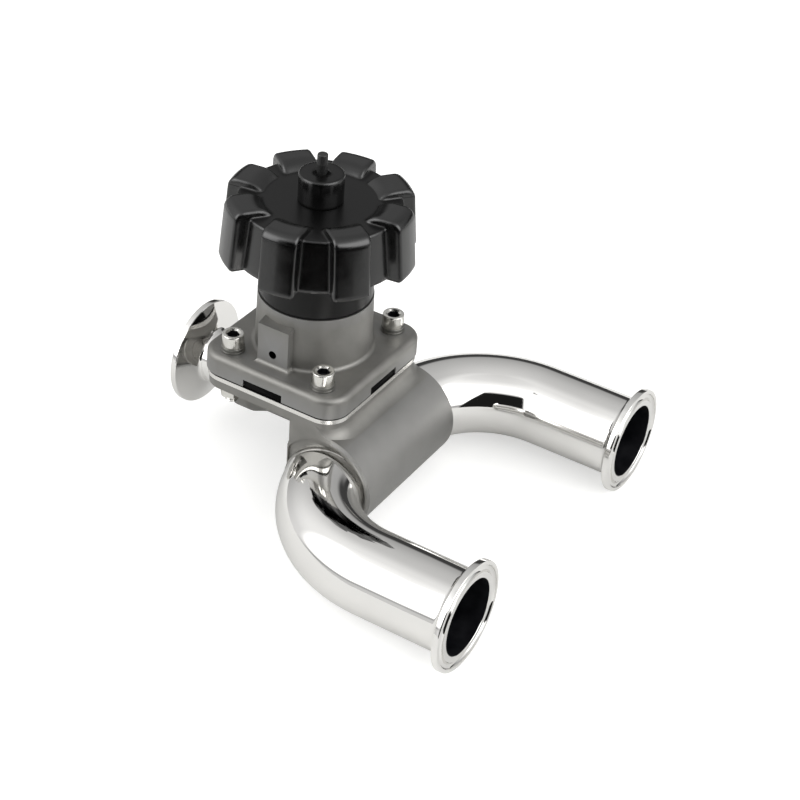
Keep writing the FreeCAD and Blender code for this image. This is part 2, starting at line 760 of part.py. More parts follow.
def hub_cap():
    """Cap over the wheel nut, with the indicator pin's seal in a recess of its top."""
    shape = rod(cap_radius, plate_top, cap_top)
    shape = shape.makeChamfer(cap_edge, level_edges(shape, cap_top))
    seat = cap_top - 2 * pin_seal_section - running
    cavity = rod(cap_radius - cap_wall, plate_top - overrun, seat - cap_wall)
    hole = rod(pin_od / 2 + running, plate_top, cap_top + overrun)
    recess = rod(pin_od / 2 + running + 2 * pin_seal_section, seat, cap_top + overrun)
    return shape.cut([cavity, hole, recess])


def pin_seal():
    centre = pin_od / 2 + running + pin_seal_section
    return ring(centre, pin_seal_section, cap_top - pin_seal_section - running)


def build():
    os.makedirs("parts", exist_ok=True)
    save("valve_body", valve_body())
    for name, side in (("left", -1), ("right", 1)):
        save(name + "_elbow", elbow(side))
        save(name + "_ferrule", port_ferrule(side))
    save("outlet_ferrule", outlet_ferrule())
    save("diaphragm", diaphragm())
    save("bonnet", bonnet())
    tips = {-1: head_seat() - long_screw, 1: short_screw_tip()}
    save("long_cap_screws", *[cap_screw(x, y, tips[-1]) for x, y in bolt_places() if x < 0])
    save("short_cap_screws", *[cap_screw(x, y, tips[1]) for x, y in bolt_places() if x > 0])
    save("flat_washers", *[flat_washer(bonnet_top, x, y) for x, y in bolt_places()])
    save("spring_washers", *[spring_washer(x, y) for x, y in bolt_places()])
    nut_top = flange_foot - washer_thick
    rear = [(x, y) for x, y in bolt_places() if x < 0]
    save("nut_washers", *[flat_washer(nut_top, x, y) for x, y in rear])
    save("hex_nuts", *[hexagon(nut_flats, nut_top - nut_height, nut_top, x, y)
                       .cut(rod(screw_size / 2, nut_top - nut_height - overrun, nut_top + overrun, x, y))
                       for x, y in rear])
    save("spindle_seal", ring(seal_radius(), seal_section, seal_height()))
    save("lower_thrust_washer", tube(thrust_od / 2, sleeve_radius + running, bearing_floor, collar_foot))
    save("upper_thrust_washer", tube(thrust_od / 2, sleeve_radius + running, collar_top, bearing_cap_foot))
    save("bearing_cap", bearing_cap())
    seal_level = (bearing_cap_foot + neck_top) / 2
    save("sleeve_seal", ring(sleeve_radius + running + seal_section, seal_section, seal_level))
    save("handwheel", handwheel())
    save("drive_sleeve", drive_sleeve())
    save("drive_key", drive_key())
    save("wheel_washer", wheel_washer())
    save("wheel_nut", wheel_nut())
    save("hub_cap", hub_cap())
    save("pin_seal", pin_seal())
    save("spindle", spindle())
    save("compressor", compressor())
    save("compressor_pin", compressor_pin())
    save("diaphragm_stud", diaphragm_stud())
    save("indicator_pin", indicator_pin())


build()
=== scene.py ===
import json
import math

import bmesh
import bpy
from mathutils import Matrix, Vector


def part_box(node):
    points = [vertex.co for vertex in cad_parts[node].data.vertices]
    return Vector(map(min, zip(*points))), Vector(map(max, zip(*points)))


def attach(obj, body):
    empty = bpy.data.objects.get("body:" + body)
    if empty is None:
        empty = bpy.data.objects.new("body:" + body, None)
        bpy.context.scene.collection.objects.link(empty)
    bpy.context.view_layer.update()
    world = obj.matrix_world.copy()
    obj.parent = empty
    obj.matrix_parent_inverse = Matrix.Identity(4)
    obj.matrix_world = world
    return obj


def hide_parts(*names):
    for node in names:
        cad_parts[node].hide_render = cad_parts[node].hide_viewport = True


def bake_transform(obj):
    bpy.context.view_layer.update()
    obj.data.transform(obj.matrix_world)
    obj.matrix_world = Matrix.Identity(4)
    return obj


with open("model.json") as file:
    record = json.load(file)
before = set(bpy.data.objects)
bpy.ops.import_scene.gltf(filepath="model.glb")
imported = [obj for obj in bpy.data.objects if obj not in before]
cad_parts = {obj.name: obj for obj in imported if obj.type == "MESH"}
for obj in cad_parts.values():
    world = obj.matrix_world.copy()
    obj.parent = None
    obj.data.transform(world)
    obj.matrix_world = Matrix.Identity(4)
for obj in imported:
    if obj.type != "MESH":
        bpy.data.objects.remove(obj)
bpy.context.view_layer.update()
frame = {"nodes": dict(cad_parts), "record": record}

# Three-way diaphragm valve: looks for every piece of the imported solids.
# Lengths in the dictionaries are millimetres, places come from the frame in metres.
mm = 0.001
mergeDistance = 0.0001 * mm
seamAngle = 35
mounts = {mount["name"]: mount for mount in frame["record"]["mounts"]}
spindleX = sum(corner.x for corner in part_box("indicator_pin")) / 2
leftPort = Vector(mounts["left_port"]["pos_m"])
spindleFoot = Vector((spindleX, 0, leftPort.z))
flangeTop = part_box("diaphragm")[0].z
print("frame:", len(frame["nodes"]), "nodes")

# The photograph's viewpoint, measured from the spindle's axis at the header's height
viewpoint = {"azimuth": 29.27, "elevation": 34.93, "roll": 4.66, "distance": 931.7, "sideways": 42.9,
             "upwards": 17.7, "lens": 90.25, "shiftX": -0.0026, "shiftY": -0.0253}


def placeCamera():
    look = viewpoint
    turn, lift, roll = (math.radians(look[key]) for key in ("azimuth", "elevation", "roll"))
    back = Vector((math.sin(turn) * math.cos(lift), -math.cos(turn) * math.cos(lift), math.sin(lift)))
    level = Vector((math.cos(turn), math.sin(turn), 0))
    upward = back.cross(level)
    across = level * math.cos(roll) + upward * math.sin(roll)
    upright = upward * math.cos(roll) - level * math.sin(roll)
    eye = back * look["distance"] + across * look["sideways"] + upright * look["upwards"]
    data = bpy.data.cameras.new("camera")
    data.sensor_width = 36
    data.lens = look["lens"]
    data.shift_x = look["shiftX"]
    data.shift_y = look["shiftY"]
    data.clip_start = 0.01
    camera = bpy.data.objects.new("camera", data)
    bpy.context.scene.collection.objects.link(camera)
    facing = Matrix((across, upright, back)).transposed().to_4x4()
    camera.matrix_world = Matrix.Translation(spindleFoot + eye * mm) @ facing
    bpy.context.scene.camera = camera
    return back, level


towardsCamera, acrossView = placeCamera()
bpy.context.scene.view_settings.view_transform = "Standard"
print("camera placed")


# Node helpers
def clearTree(owner):
    owner.use_nodes = True
    owner.node_tree.nodes.clear()
    return owner.node_tree


def addNode(tree, kind, sockets=None, **settings):
    node = tree.nodes.new(kind)
    for key, value in settings.items():
        setattr(node, key, value)
    for key, value in (sockets or {}).items():
        if isinstance(value, bpy.types.NodeSocket):
            tree.links.new(value, node.inputs[key])
        else:
            node.inputs[key].default_value = value
    return node


def addRamp(tree, factor, stops):
    node = addNode(tree, "ShaderNodeValToRGB", {"Fac": factor})
    ramp = node.color_ramp
    while len(ramp.elements) < len(stops):
        ramp.elements.new(0.5)
    for element, (place, value) in zip(ramp.elements, stops):
        element.position = place
        element.color = (value, value, value, 1) if isinstance(value, float) else (*value, 1)
    return node.outputs["Color"]


def easeRange(tree, value, start, end):
    limits = {"Value": value, "From Min": start, "From Max": end}
    return addNode(tree, "ShaderNodeMapRange", limits, interpolation_type="SMOOTHSTEP").outputs[0]


def mathNode(tree, operation, *values):
    return addNode(tree, "ShaderNodeMath", dict(enumerate(values)), operation=operation).outputs[0]


def windowNode(tree, value, low, high, soft):
    # 1 from low to high, easing to 0 outside, with each edge soft on both of its sides
    return mathNode(tree, "MULTIPLY", easeRange(tree, value, low - soft, low + soft),
                    easeRange(tree, value, high + soft, high - soft))


def alongNode(tree, direction, axis):
    node = addNode(tree, "ShaderNodeVectorMath", {0: direction, 1: tuple(axis)}, operation="DOT_PRODUCT")
    return node.outputs["Value"]


def grey(light):
    return (light, light, light, 1)


def mixNode(tree, share, first, second):
    return addNode(tree, "ShaderNodeMix", {0: share, 6: first, 7: second}, data_type="RGBA").outputs[2]


def mixValue(tree, share, first, second):
    return addNode(tree, "ShaderNodeMix", {0: share, 2: first, 3: second}, data_type="FLOAT").outputs[0]


# Studio: a white tent, bright at both sides of the camera, with a dark opening where the camera looks in.
# Skies are (elevation in degrees, radiance); turns are degrees from the camera's side, positive to the right.
studio = {
    "front": [(-90, 0.5), (-4, 0.66), (-1, 0.6), (0.2, 0.28), (1.2, 0.3), (3, 1.1), (10, 2.7), (20, 3.7),
              (42, 3.7), (50, 2.1), (58, 1.15), (70, 0.86), (90, 0.74)],
    "side": [(-90, 0.45), (-9, 0.45), (0, 0.78), (10, 0.8), (20, 0.92), (30, 1.0), (50, 1.0), (60, 0.95),
             (90, 0.78)],
    "backLeft": [(-90, 0.45), (-12, 0.42), (-9, 0.26), (0, 0.31), (10, 0.35), (20, 0.42), (30, 0.5),
                 (40, 0.56), (60, 0.62), (75, 0.7), (90, 0.78)],
    "backRight": [(-90, 0.45), (-4, 0.42), (-2, 0.03), (8, 0.04), (12, 0.32), (20, 0.38), (30, 0.42),
                  (40, 0.47), (50, 0.53), (60, 0.6), (75, 0.7), (90, 0.78)],
    "backSplit": 0.25,
    "leftSide": (-158, -102), "leftTurn": (-104, -82),
    "rightSide": (132, 94), "rightTurn": (98, 80),
    "behind": {"turn": (140, 156), "low": -2, "high": 19, "soft": 4, "light": 0.05},
    "opening": {"left": -43, "right": 17, "end": 50, "top": 36, "soft": 3, "light": 0.012},
    "brow": {"soft": 10, "top": 56, "light": 1.3},
    "table": {"front": 0.25, "back": 1.6, "half": 1.6, "colour": (0.74, 0.74, 0.73), "lift": 0.45},
}
flatBack = Vector((towardsCamera.x, towardsCamera.y, 0)).normalized()


def skyRamp(tree, rise, sky):
    return addRamp(tree, rise, [((degrees + 90) / 180, radiance) for degrees, radiance in studio[sky]])


def makeWorld():
    world = bpy.data.worlds.new("studio")
    bpy.context.scene.world = world
    tree = clearTree(world)
    path = addNode(tree, "ShaderNodeLightPath")
    direction = addNode(tree, "ShaderNodeTexCoord").outputs["Generated"]
    height = addNode(tree, "ShaderNodeSeparateXYZ", {"Vector": direction}).outputs["Z"]
    elevation = mathNode(tree, "MULTIPLY", mathNode(tree, "ARCSINE", height), math.degrees(1))
    rise = mathNode(tree, "MULTIPLY_ADD", elevation, 1 / 180, 0.5)
    sideways, backward = alongNode(tree, direction, acrossView), alongNode(tree, direction, flatBack)
    turn = mathNode(tree, "MULTIPLY", mathNode(tree, "ARCTAN2", sideways, backward), math.degrees(1))
    front, side = [mathNode(tree, "MULTIPLY", easeRange(tree, turn, *studio["left" + part]),
                            easeRange(tree, turn, *studio["right" + part])) for part in ("Turn", "Side")]
    rightward = easeRange(tree, sideways, -studio["backSplit"], studio["backSplit"])
    sky = mixNode(tree, rightward, skyRamp(tree, rise, "backLeft"), skyRamp(tree, rise, "backRight"))
    behind = studio["behind"]
    shade = mathNode(tree, "MULTIPLY",
                     easeRange(tree, mathNode(tree, "ABSOLUTE", turn), *behind["turn"]),
                     windowNode(tree, elevation, behind["low"], behind["high"], behind["soft"]))
    sky = mixNode(tree, shade, sky, grey(behind["light"]))
    sky = mixNode(tree, side, sky, skyRamp(tree, rise, "side"))
    sky = mixNode(tree, front, sky, skyRamp(tree, rise, "front"))
    gap, brow = studio["opening"], studio["brow"]
    over = mathNode(tree, "MULTIPLY", windowNode(tree, turn, gap["left"], gap["right"], brow["soft"]),
                    easeRange(tree, elevation, brow["top"] + brow["soft"], brow["top"] - brow["soft"]))
    sky = mixNode(tree, over, sky, grey(brow["light"]))
    soft = gap["soft"]
    slope = gap["top"] / (gap["end"] - gap["right"])
    slant = mathNode(tree, "MULTIPLY_ADD", turn, -slope, gap["end"] * slope)
    below = mathNode(tree, "SUBTRACT", mathNode(tree, "MINIMUM", slant, gap["top"]), elevation)
    mask = mathNode(tree, "MULTIPLY", easeRange(tree, turn, gap["left"] - soft, gap["left"] + soft),
                    easeRange(tree, below, -soft, soft))
    sky = mixNode(tree, mask, sky, grey(gap["light"]))
    plain = mixNode(tree, path.outputs["Is Camera Ray"], sky, grey(1))
    background = addNode(tree, "ShaderNodeBackground", {"Color": plain, "Strength": 1.0})
    addNode(tree, "ShaderNodeOutputWorld", {"Surface": background.outputs[0]})


def makeTable():
    look = studio["table"]
    near, far, half = look["front"], -look["back"], look["half"]
    corners = [flatBack * along + acrossView * across
               for along, across in ((near, -half), (near, half), (far, half), (far, -half))]
    mesh = bpy.data.meshes.new("table")
    mesh.from_pydata([(spindleX + corner.x, corner.y, 0) for corner in corners], [], [range(4)])
    table = bpy.data.objects.new("table", mesh)
    bpy.context.scene.collection.objects.link(table)
    material = bpy.data.materials.new("tablePaper")
    tree = clearTree(material)
    path = addNode(tree, "ShaderNodeLightPath")
    paper = addNode(tree, "ShaderNodeBsdfDiffuse", {"Color": (*look["colour"], 1)})
    lift = mathNode(tree, "MULTIPLY", path.outputs["Is Camera Ray"], look["lift"])
    glow = addNode(tree, "ShaderNodeEmission", {"Color": grey(1), "Strength": lift})
    both = addNode(tree, "ShaderNodeAddShader", {0: paper.outputs[0], 1: glow.outputs[0]})
    addNode(tree, "ShaderNodeOutputMaterial", {"Surface": both.outputs[0]})
    mesh.materials.append(material)


makeWorld()
makeTable()
print("studio lit")

# Finishes: two tones mixed by soft clouds, a roughness range, fine grain, slow swell and worn edges.
# Grain and swell are (scale, height), an edge is (width, brightness), and wearSpan holds the shares of that
# width where the wear starts and where it is full.
cloudSpan = (0.3, 0.7)
wearSpan = (0.3, 1.5)
castSteel = {"tones": ((0.224, 0.22, 0.207), (0.276, 0.271, 0.255)), "cloud": 90, "metallic": 0.85,
             "rough": (0.46, 0.56), "grain": (2600, 0.05), "swell": (240, 0.05), "edge": (0.1, 0.3)}
finishes = {
    "polishedSteel": {"tones": ((0.84, 0.83, 0.81), (0.88, 0.87, 0.85)), "cloud": 40, "metallic": 1.0,
                      "rough": (0.03, 0.07), "grain": (1500, 0.0006), "swell": (45, 0.012)},
    "weldSteel": {"tones": ((0.30, 0.29, 0.27), (0.42, 0.41, 0.39)), "cloud": 420, "metallic": 1.0,
                  "rough": (0.24, 0.4), "grain": (1600, 0.03), "swell": (500, 0.03)},
    # Near black steel, painted as shade inside the tube bores and the screws' sockets
    "hollowShadeSteel": {"tones": ((0.006, 0.006, 0.008), (0.018, 0.018, 0.021)), "cloud": 120, "metallic": 0.5,
                  "rough": (0.35, 0.55), "grain": (1500, 0.01), "swell": (90, 0.03), "shine": 0.15},
    "fastenerSteel": {"tones": ((0.66, 0.65, 0.61), (0.78, 0.77, 0.74)), "cloud": 300, "metallic": 1.0,
                      "rough": (0.14, 0.24), "grain": (3000, 0.006), "swell": (400, 0.01)},
    "machinedSteel": {"tones": ((0.52, 0.52, 0.50), (0.62, 0.62, 0.60)), "cloud": 150, "metallic": 1.0,
                      "rough": (0.22, 0.34), "grain": (2400, 0.004), "swell": (300, 0.01)},
    "bronze": {"tones": ((0.50, 0.31, 0.13), (0.62, 0.42, 0.20)), "cloud": 120, "metallic": 1.0,
               "rough": (0.26, 0.38), "grain": (2200, 0.005), "swell": (300, 0.01)},
    "blackRubber": {"tones": ((0.0015, 0.0015, 0.0015), (0.003, 0.003, 0.003)), "cloud": 200,
                    "metallic": 0.0, "rough": (0.6, 0.75), "grain": (1800, 0.03), "swell": (300, 0.02),
                    "shine": 0.08},
    "washerSteel": {"tones": ((0.20, 0.20, 0.185), (0.27, 0.265, 0.25)), "cloud": 300, "metallic": 1.0,
                    "rough": (0.36, 0.46), "grain": (3000, 0.006), "swell": (400, 0.01)},
    "wheelPlastic": {"tones": ((0.0008, 0.0008, 0.0008), (0.002, 0.002, 0.002)), "cloud": 130,
                     "metallic": 0.0, "rough": (0.17, 0.25), "grain": (1400, 0.006), "swell": (110, 0.04),
                     "edge": (0.06, 0.008), "shine": 0.74, "soften": 2.2},
    "pinPlastic": {"tones": ((0.012, 0.012, 0.012), (0.02, 0.02, 0.02)), "cloud": 300, "metallic": 0.0,
                   "rough": (0.38, 0.5), "grain": (1800, 0.01), "swell": (300, 0.02)},
}
# Bands of height: the land, and the seat line painted black as shade below the rubber, the wheel's skirt
# above its foot, its plate above the header, and the pin's foot, painted darker as shade, below and above the
# cap's top
heights = {"land": 2.4, "seat": 0.32, "seatRise": 0.1, "skirt": 19, "plate": 117, "margin": 0.15,
           "pinSunk": 9, "pinOut": 4.2, "soft": 0.05}
# The bonnet's weep hole, painted near black inside as shade
weepHoleShade = {"forward": -2.2, "up": 50.6, "radius": 2.05, "soft": 0.2, "depth": 1.0}
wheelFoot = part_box("handwheel")[0].z
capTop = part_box("hub_cap")[1].z


def band(base, low, high, tone, rough, **more):
    # A stretch of height with a tone of its own or with painted shade, from low to high above the base
    return {"low": base + low * mm, "high": base + high * mm, "tone": tone, "rough": rough, **more}


# The casting is turned bright for a little below the rubber, and painted black as shade in the gap where the
# rubber sits
finishes["bodySteel"] = {**castSteel, "bands": [
    band(flangeTop, -heights["land"], heights["seatRise"], (0.74, 0.73, 0.70), 0.24),
    band(flangeTop, -heights["seat"], heights["seatRise"], (0.004, 0.004, 0.004), 0.7)]}
# The bonnet is painted near black inside its weep hole as shade
finishes["bonnetSteel"] = {**castSteel, "hole": weepHoleShade}
# The wheel's skirt, plate and cap shine less than the lobes, and the pin is painted blacker at its foot as
# shade where it rises from the cap
finishes["wheelPlastic"]["bands"] = [
    band(base, low - heights["margin"], high + heights["margin"], (0.001, 0.001, 0.001), 0.3, shine=shine)
    for base, low, high, shine in ((wheelFoot, 0, heights["skirt"], 0.28),
                                   (spindleFoot.z, heights["plate"], heights["plate"], 0.34),
                                   (capTop, 0, 0, 0.4))]
finishes["pinPlastic"]["bands"] = [
    band(capTop, -heights["pinSunk"], heights["pinOut"], (0.001, 0.001, 0.001), 0.6)]


def holeShadeShare(tree, place, hole):
    # Share of painted shade: 1 inside a hole that runs along Y from the front, 0 outside
    centre = (spindleX + hole["forward"] * mm, 0, spindleFoot.z + hole["up"] * mm)
    flat = addNode(tree, "ShaderNodeVectorMath", {0: place, 1: (1, 0, 1)}, operation="MULTIPLY").outputs[0]
    reach = addNode(tree, "ShaderNodeVectorMath", {0: flat, 1: centre}, operation="DISTANCE").outputs["Value"]
    across = addNode(tree, "ShaderNodeSeparateXYZ", {"Vector": place}).outputs["Y"]
    radius = hole["radius"] * mm
    return mathNode(tree, "MULTIPLY", easeRange(tree, reach, radius, radius - hole["soft"] * mm),
                    easeRange(tree, across, 0, -hole["depth"] * mm))


def makeFinish(name):
    look = finishes[name]
    material = bpy.data.materials.new(name)
    tree = clearTree(material)
    place = addNode(tree, "ShaderNodeTexCoord").outputs["Object"]
    clouds = addNode(tree, "ShaderNodeTexNoise", {"Vector": place, "Scale": look["cloud"], "Detail": 3.0})
    cloud = clouds.outputs["Fac"]
    smooth, dull = look["rough"]
    tone = addRamp(tree, cloud, list(zip(cloudSpan, look["tones"])))
    if "edge" in look:
        # Pointiness is 0.5 where a surface is flat
        width, lift = look["edge"]
        shape = addNode(tree, "ShaderNodeNewGeometry").outputs["Pointiness"]
        start, full = (0.5 + width * share for share in wearSpan)
        worn = addNode(tree, "ShaderNodeMapRange", {"Value": shape, "From Min": start, "From Max": full})
        tone = mixNode(tree, worn.outputs[0], tone, grey(lift))
    rough = addNode(tree, "ShaderNodeMapRange",
                    {"Value": cloud, "From Min": cloudSpan[0], "From Max": cloudSpan[1],
                     "To Min": smooth, "To Max": dull}).outputs[0]
    shine = look.get("shine", 0.5)
    for stretch in look.get("bands", []):
        level = addNode(tree, "ShaderNodeSeparateXYZ", {"Vector": place}).outputs["Z"]
        share = windowNode(tree, level, stretch["low"], stretch["high"], heights["soft"] * mm)
        tone = mixNode(tree, share, tone, (*stretch["tone"], 1))
        rough = mixValue(tree, share, rough, stretch["rough"])
        if "shine" in stretch:
            shine = mixValue(tree, share, shine, stretch["shine"])
    # Painted shade: the tone goes near black inside the hole
    if "hole" in look:
        tone = mixNode(tree, holeShadeShare(tree, place, look["hole"]), tone, grey(0.001))
    scale, depth = look["grain"]
    grain = addNode(tree, "ShaderNodeTexNoise",
                    {"Vector": place, "Scale": scale, "Detail": 4.0, "Roughness": 0.6}).outputs["Fac"]
    slow, height = look["swell"]
    swell = addNode(tree, "ShaderNodeTexNoise",
                    {"Vector": place, "Scale": slow, "Detail": 2.0}).outputs["Fac"]
    wide = addNode(tree, "ShaderNodeBump", {"Height": swell, "Strength": 1.0, "Distance": height * mm})
    if "soften" in look:
        corner = addNode(tree, "ShaderNodeBevel", {"Radius": look["soften"] * mm}, samples=8)
        tree.links.new(corner.outputs["Normal"], wide.inputs["Normal"])
    bump = addNode(tree, "ShaderNodeBump", {"Height": grain, "Strength": 1.0, "Distance": depth * mm,
                                            "Normal": wide.outputs[0]})
    shader = addNode(tree, "ShaderNodeBsdfPrincipled",
                     {"Base Color": tone, "Metallic": look["metallic"], "Roughness": rough,
                      "Specular IOR Level": shine, "Normal": bump.outputs[0]})
    addNode(tree, "ShaderNodeOutputMaterial", {"Surface": shader.outputs[0]})
    return material


materials = {name: makeFinish(name) for name in finishes}
slotFinish = {"polished_steel": "polishedSteel", "fastener_steel": "fastenerSteel",
              "machined_steel": "machinedSteel", "bronze": "bronze", "black_rubber": "blackRubber",
              "wheel_plastic": "wheelPlastic", "pin_plastic": "pinPlastic"}
ownFinish = {"valve_body": "bodySteel", "bonnet": "bonnetSteel"}
nodeSlot = {part["node"]: part["material_slot"] for part in frame["record"]["subparts"]}
for nodeName, node in frame["nodes"].items():
    node.data.materials.clear()
    node.data.materials.append(materials[ownFinish.get(nodeName) or slotFinish[nodeSlot[nodeName]]])
print("finishes:", len(materials))


# Mesh helpers: every surface is a skin over rings of points; marks name the material of each stretch
def skin(rings, loop=False, marks=None):
    count = len(rings[0])
    points = [point for ring in rings for point in ring]
    faces, kinds = [], []
    for i in range(len(rings) if loop else len(rings) - 1):
        here, there = i * count, ((i + 1) % len(rings)) * count
        for j in range(count):
            k = (j + 1) % count
            faces.append((here + j, here + k, there + k, there + j))
            kinds.append(marks[i] if marks else 0)
    if not loop:
        last = (len(rings) - 1) * count
        faces += [tuple(range(count)), tuple(range(last, last + count))]
        kinds += [kinds[0], kinds[-1]]
    return points, faces, kinds


def makePiece(name, skins, body, node, finishNames, sharp=seamAngle):
    bm = bmesh.new()
    for points, faces, kinds in skins:
        made = [bm.verts.new(point) for point in points]
        for corners, kind in zip(faces, kinds):
            face = bm.faces.new([made[c] for c in corners])
            face.material_index = kind
            face.smooth = True
    bmesh.ops.remove_doubles(bm, verts=bm.verts, dist=mergeDistance)
    bmesh.ops.recalc_face_normals(bm, faces=bm.faces)
    mesh = bpy.data.meshes.new(name)
    bm.to_mesh(mesh)
    bm.free()
    mesh.set_sharp_from_angle(angle=math.radians(sharp))
    for finishName in finishNames:
        mesh.materials.append(materials[finishName])
    piece = bpy.data.objects.new(name, mesh)
    bpy.context.scene.collection.objects.link(piece)
    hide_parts(node)
    if body:
        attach(piece, body)
    return piece


def roundOff(corners, steps=6):
    # Corners are (radius, height, rounding, mark); the mark names the stretch that starts there
    outline, marks = [], []
    count = len(corners)
    for i, (r, h, rounding, mark) in enumerate(corners):
        here = Vector((r, h))
        before = Vector(corners[i - 1][:2]) - here
        after = Vector(corners[(i + 1) % count][:2]) - here
        if rounding == 0:
            outline.append((r, h))
            marks.append(mark)
            continue
        turn = before.angle(after)
        reach = rounding / math.tan(turn / 2)
        start, end = here + before.normalized() * reach, here + after.normalized() * reach
        inward = (before.normalized() + after.normalized()).normalized()
        middle = here + inward * rounding / math.sin(turn / 2)
        first, last, sweep = start - middle, end - middle, math.pi - turn
        way = 1 if first.x * last.y - first.y * last.x > 0 else -1
        for k in range(steps + 1):
            angle = way * sweep * k / steps
            x = first.x * math.cos(angle) - first.y * math.sin(angle)
            y = first.x * math.sin(angle) + first.y * math.cos(angle)
            outline.append((middle.x + x, middle.y + y))
            marks.append(mark)
    return outline, marks


def lathe(outline, centre, axis, steps=144, loop=True, marks=None):
    axis = Vector(axis).normalized()
    side = axis.orthogonal().normalized()
    other = axis.cross(side)
    rings = []
    for r, h in outline:
        rings.append([centre + axis * h * mm + (side * math.cos(a) + other * math.sin(a)) * r * mm
                      for a in (2 * math.pi * k / steps for k in range(steps))])
    return skin(rings, loop=loop, marks=marks)


def roundedEdge(edge, steps):
    # How far each point of a rounded edge lies inside its wall and below its top
    angles = [math.pi / 2 * k / steps for k in range(steps + 1)]
    return [(edge * (1 - math.cos(a)), edge * (1 - math.sin(a))) for a in angles]


def levelRing(x, y, height, reach, around):
    # reach is a radius in millimetres, or a function of the angle
    points = []
    for k in range(around):
        a = 2 * math.pi * k / around
        r = (reach(a) if callable(reach) else reach) * mm
        points.append(Vector((x + r * math.cos(a), y + r * math.sin(a), height)))
    return points


# Clamp ferrules, all three with the same rim on tubes of two sizes
clampFerrule = {"rim": 2.85, "backSlope": 20, "grooveRadius": 21.8, "groove": 1.6, "grooveSteps": 10,
                "rimRound": 0.5, "lipRound": 0.25, "around": 192}


def makeClampFerrule(side, tube, neck, way):
    look = clampFerrule
    name, port = side + "_ferrule", mounts[side + "_port"]
    low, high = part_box(name)
    bore = port["dims"]["r_mm"]
    radius = (high.z - low.z) / 2 / mm
    length = (high.x - low.x) / mm
    fall = (radius - tube) * math.tan(math.radians(look["backSlope"]))
    corners = [(bore, 0, look["lipRound"], 0)]
    middle, groove, steps = look["grooveRadius"], look["groove"], look["grooveSteps"]
    for a in (math.pi * k / steps for k in range(steps + 1)):
        corners.append((middle - groove * math.cos(a), groove * math.sin(a), 0, 0))
    corners += [(radius, 0, look["rimRound"], 0), (radius, look["rim"], look["rimRound"], 0),
                (tube, look["rim"] + fall, neck, 0), (tube, length, 0, 0), (bore, length, 0, 1)]
    outline, marks = roundOff(corners)
    turned = lathe(outline, Vector(port["pos_m"]), (way, 0, 0), steps=look["around"], marks=marks)
    makePiece(name + "_turned", [turned], "valve", name, ["polishedSteel", "hollowShadeSteel"])


# Side, tube radius, rounding at the neck, and the way along X from face to tube
for ferrule in (("left", 19.05, 2.5, -1), ("right", 19.05, 2.5, -1), ("outlet", 12.7, 1.6, 1)):
    makeClampFerrule(*ferrule)
print("ferrules turned")

# Bent tubes, with the weld bead where each one meets the header's end
bentTube = {"radius": 19.05, "bore": 17.55, "bend": 51.0, "bead": 1.6, "beadCentre": 18.05,
            "beadAngle": 14.07, "beadReach": 1.45, "beadSteps": 22, "beadRipples": 60, "rippleMean": 0.9,
            "rippleDepth": 0.1, "rippleTwist": 3, "bendSteps": 90, "runSteps": 12, "around": 160}


def makeElbow(side, way):
    look = bentTube
    name = side + "_elbow"
    mouth = Vector(mounts[side + "_port"]["pos_m"])
    low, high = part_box(name)
    bendEnd = Vector((low.x + (look["radius"] + look["bend"]) * mm, mouth.y, mouth.z))
    centre = Vector((bendEnd.x, mouth.y - way * look["bend"] * mm, mouth.z))
    beadAngle, beadReach = look["beadAngle"], look["beadReach"]
    turns = [90 * i / look["bendSteps"] for i in range(look["bendSteps"] + 1)]
    turns = [turn for turn in turns if abs(turn - beadAngle) > beadReach]
    turns += [beadAngle + beadReach * (2 * i / look["beadSteps"] - 1) for i in range(look["beadSteps"] + 1)]
    stations = []
    for turn in sorted(turns):
        angle = math.radians(turn)
        outward = Vector((-math.cos(angle), way * math.sin(angle), 0))
        stations.append((centre + outward * look["bend"] * mm, outward, math.degrees(angle)))
    for i in range(1, look["runSteps"] + 1):
        place = bendEnd.lerp(Vector((high.x, mouth.y, mouth.z)), i / look["runSteps"])
        stations.append((place, Vector((0, way, 0)), 90))

    def ring(station, radius, beaded):
        place, outward, degrees = station
        points = []
        off = math.radians(degrees - beadAngle) * look["bend"]
        for k in range(look["around"]):
            a = 2 * math.pi * k / look["around"]
            r = radius
            if beaded and abs(off) < look["bead"]:
                rise = look["beadCentre"] + math.sqrt(look["bead"] ** 2 - off ** 2) - radius
                wave = math.cos(look["beadRipples"] * a + look["rippleTwist"] * off)
                r += max(0, rise) * (look["rippleMean"] + look["rippleDepth"] * wave)
            points.append(place + (outward * math.cos(a) + Vector((0, 0, 1)) * math.sin(a)) * r * mm)
        return points

    rings = [ring(station, look["radius"], True) for station in stations]
    rings += [ring(station, look["bore"], False) for station in reversed(stations)]
    marks = [2 if abs(station[2] - beadAngle) < beadReach else 0 for station in stations]
    marks += [1] * len(stations)
    makePiece(name + "_bent", [skin(rings, loop=True, marks=marks)], "valve", name,
              ["polishedSteel", "hollowShadeSteel", "weldSteel"])


makeElbow("left", -1)
makeElbow("right", 1)
print("elbows bent")

# Socket head cap screws
capScrew = {"headRadius": 5.0, "headHeight": 6.0, "shank": 3.0, "flats": 5.0, "socketDepth": 3.2,
            "socketFloor": 1.5, "socketCone": 0.6, "knurls": 40, "knurlDepth": 0.07, "knurlEnd": 0.3,
            "edge": 0.5, "edgeSteps": 4, "foot": 0.25, "neck": 0.3, "mouth": 3.5, "mouthDepth": 0.6,
            "pitch": 1.0, "threadDepth": 0.35, "threadLength": 16.0, "plainShank": 2.0, "tipRound": 0.3,
            "tipHeight": 0.4, "around": 120}


def hexReach(flats, angle, twist=0.0):
    fold = (angle - twist + math.pi / 6) % (math.pi / 3) - math.pi / 6
    return flats / 2 / math.cos(fold)


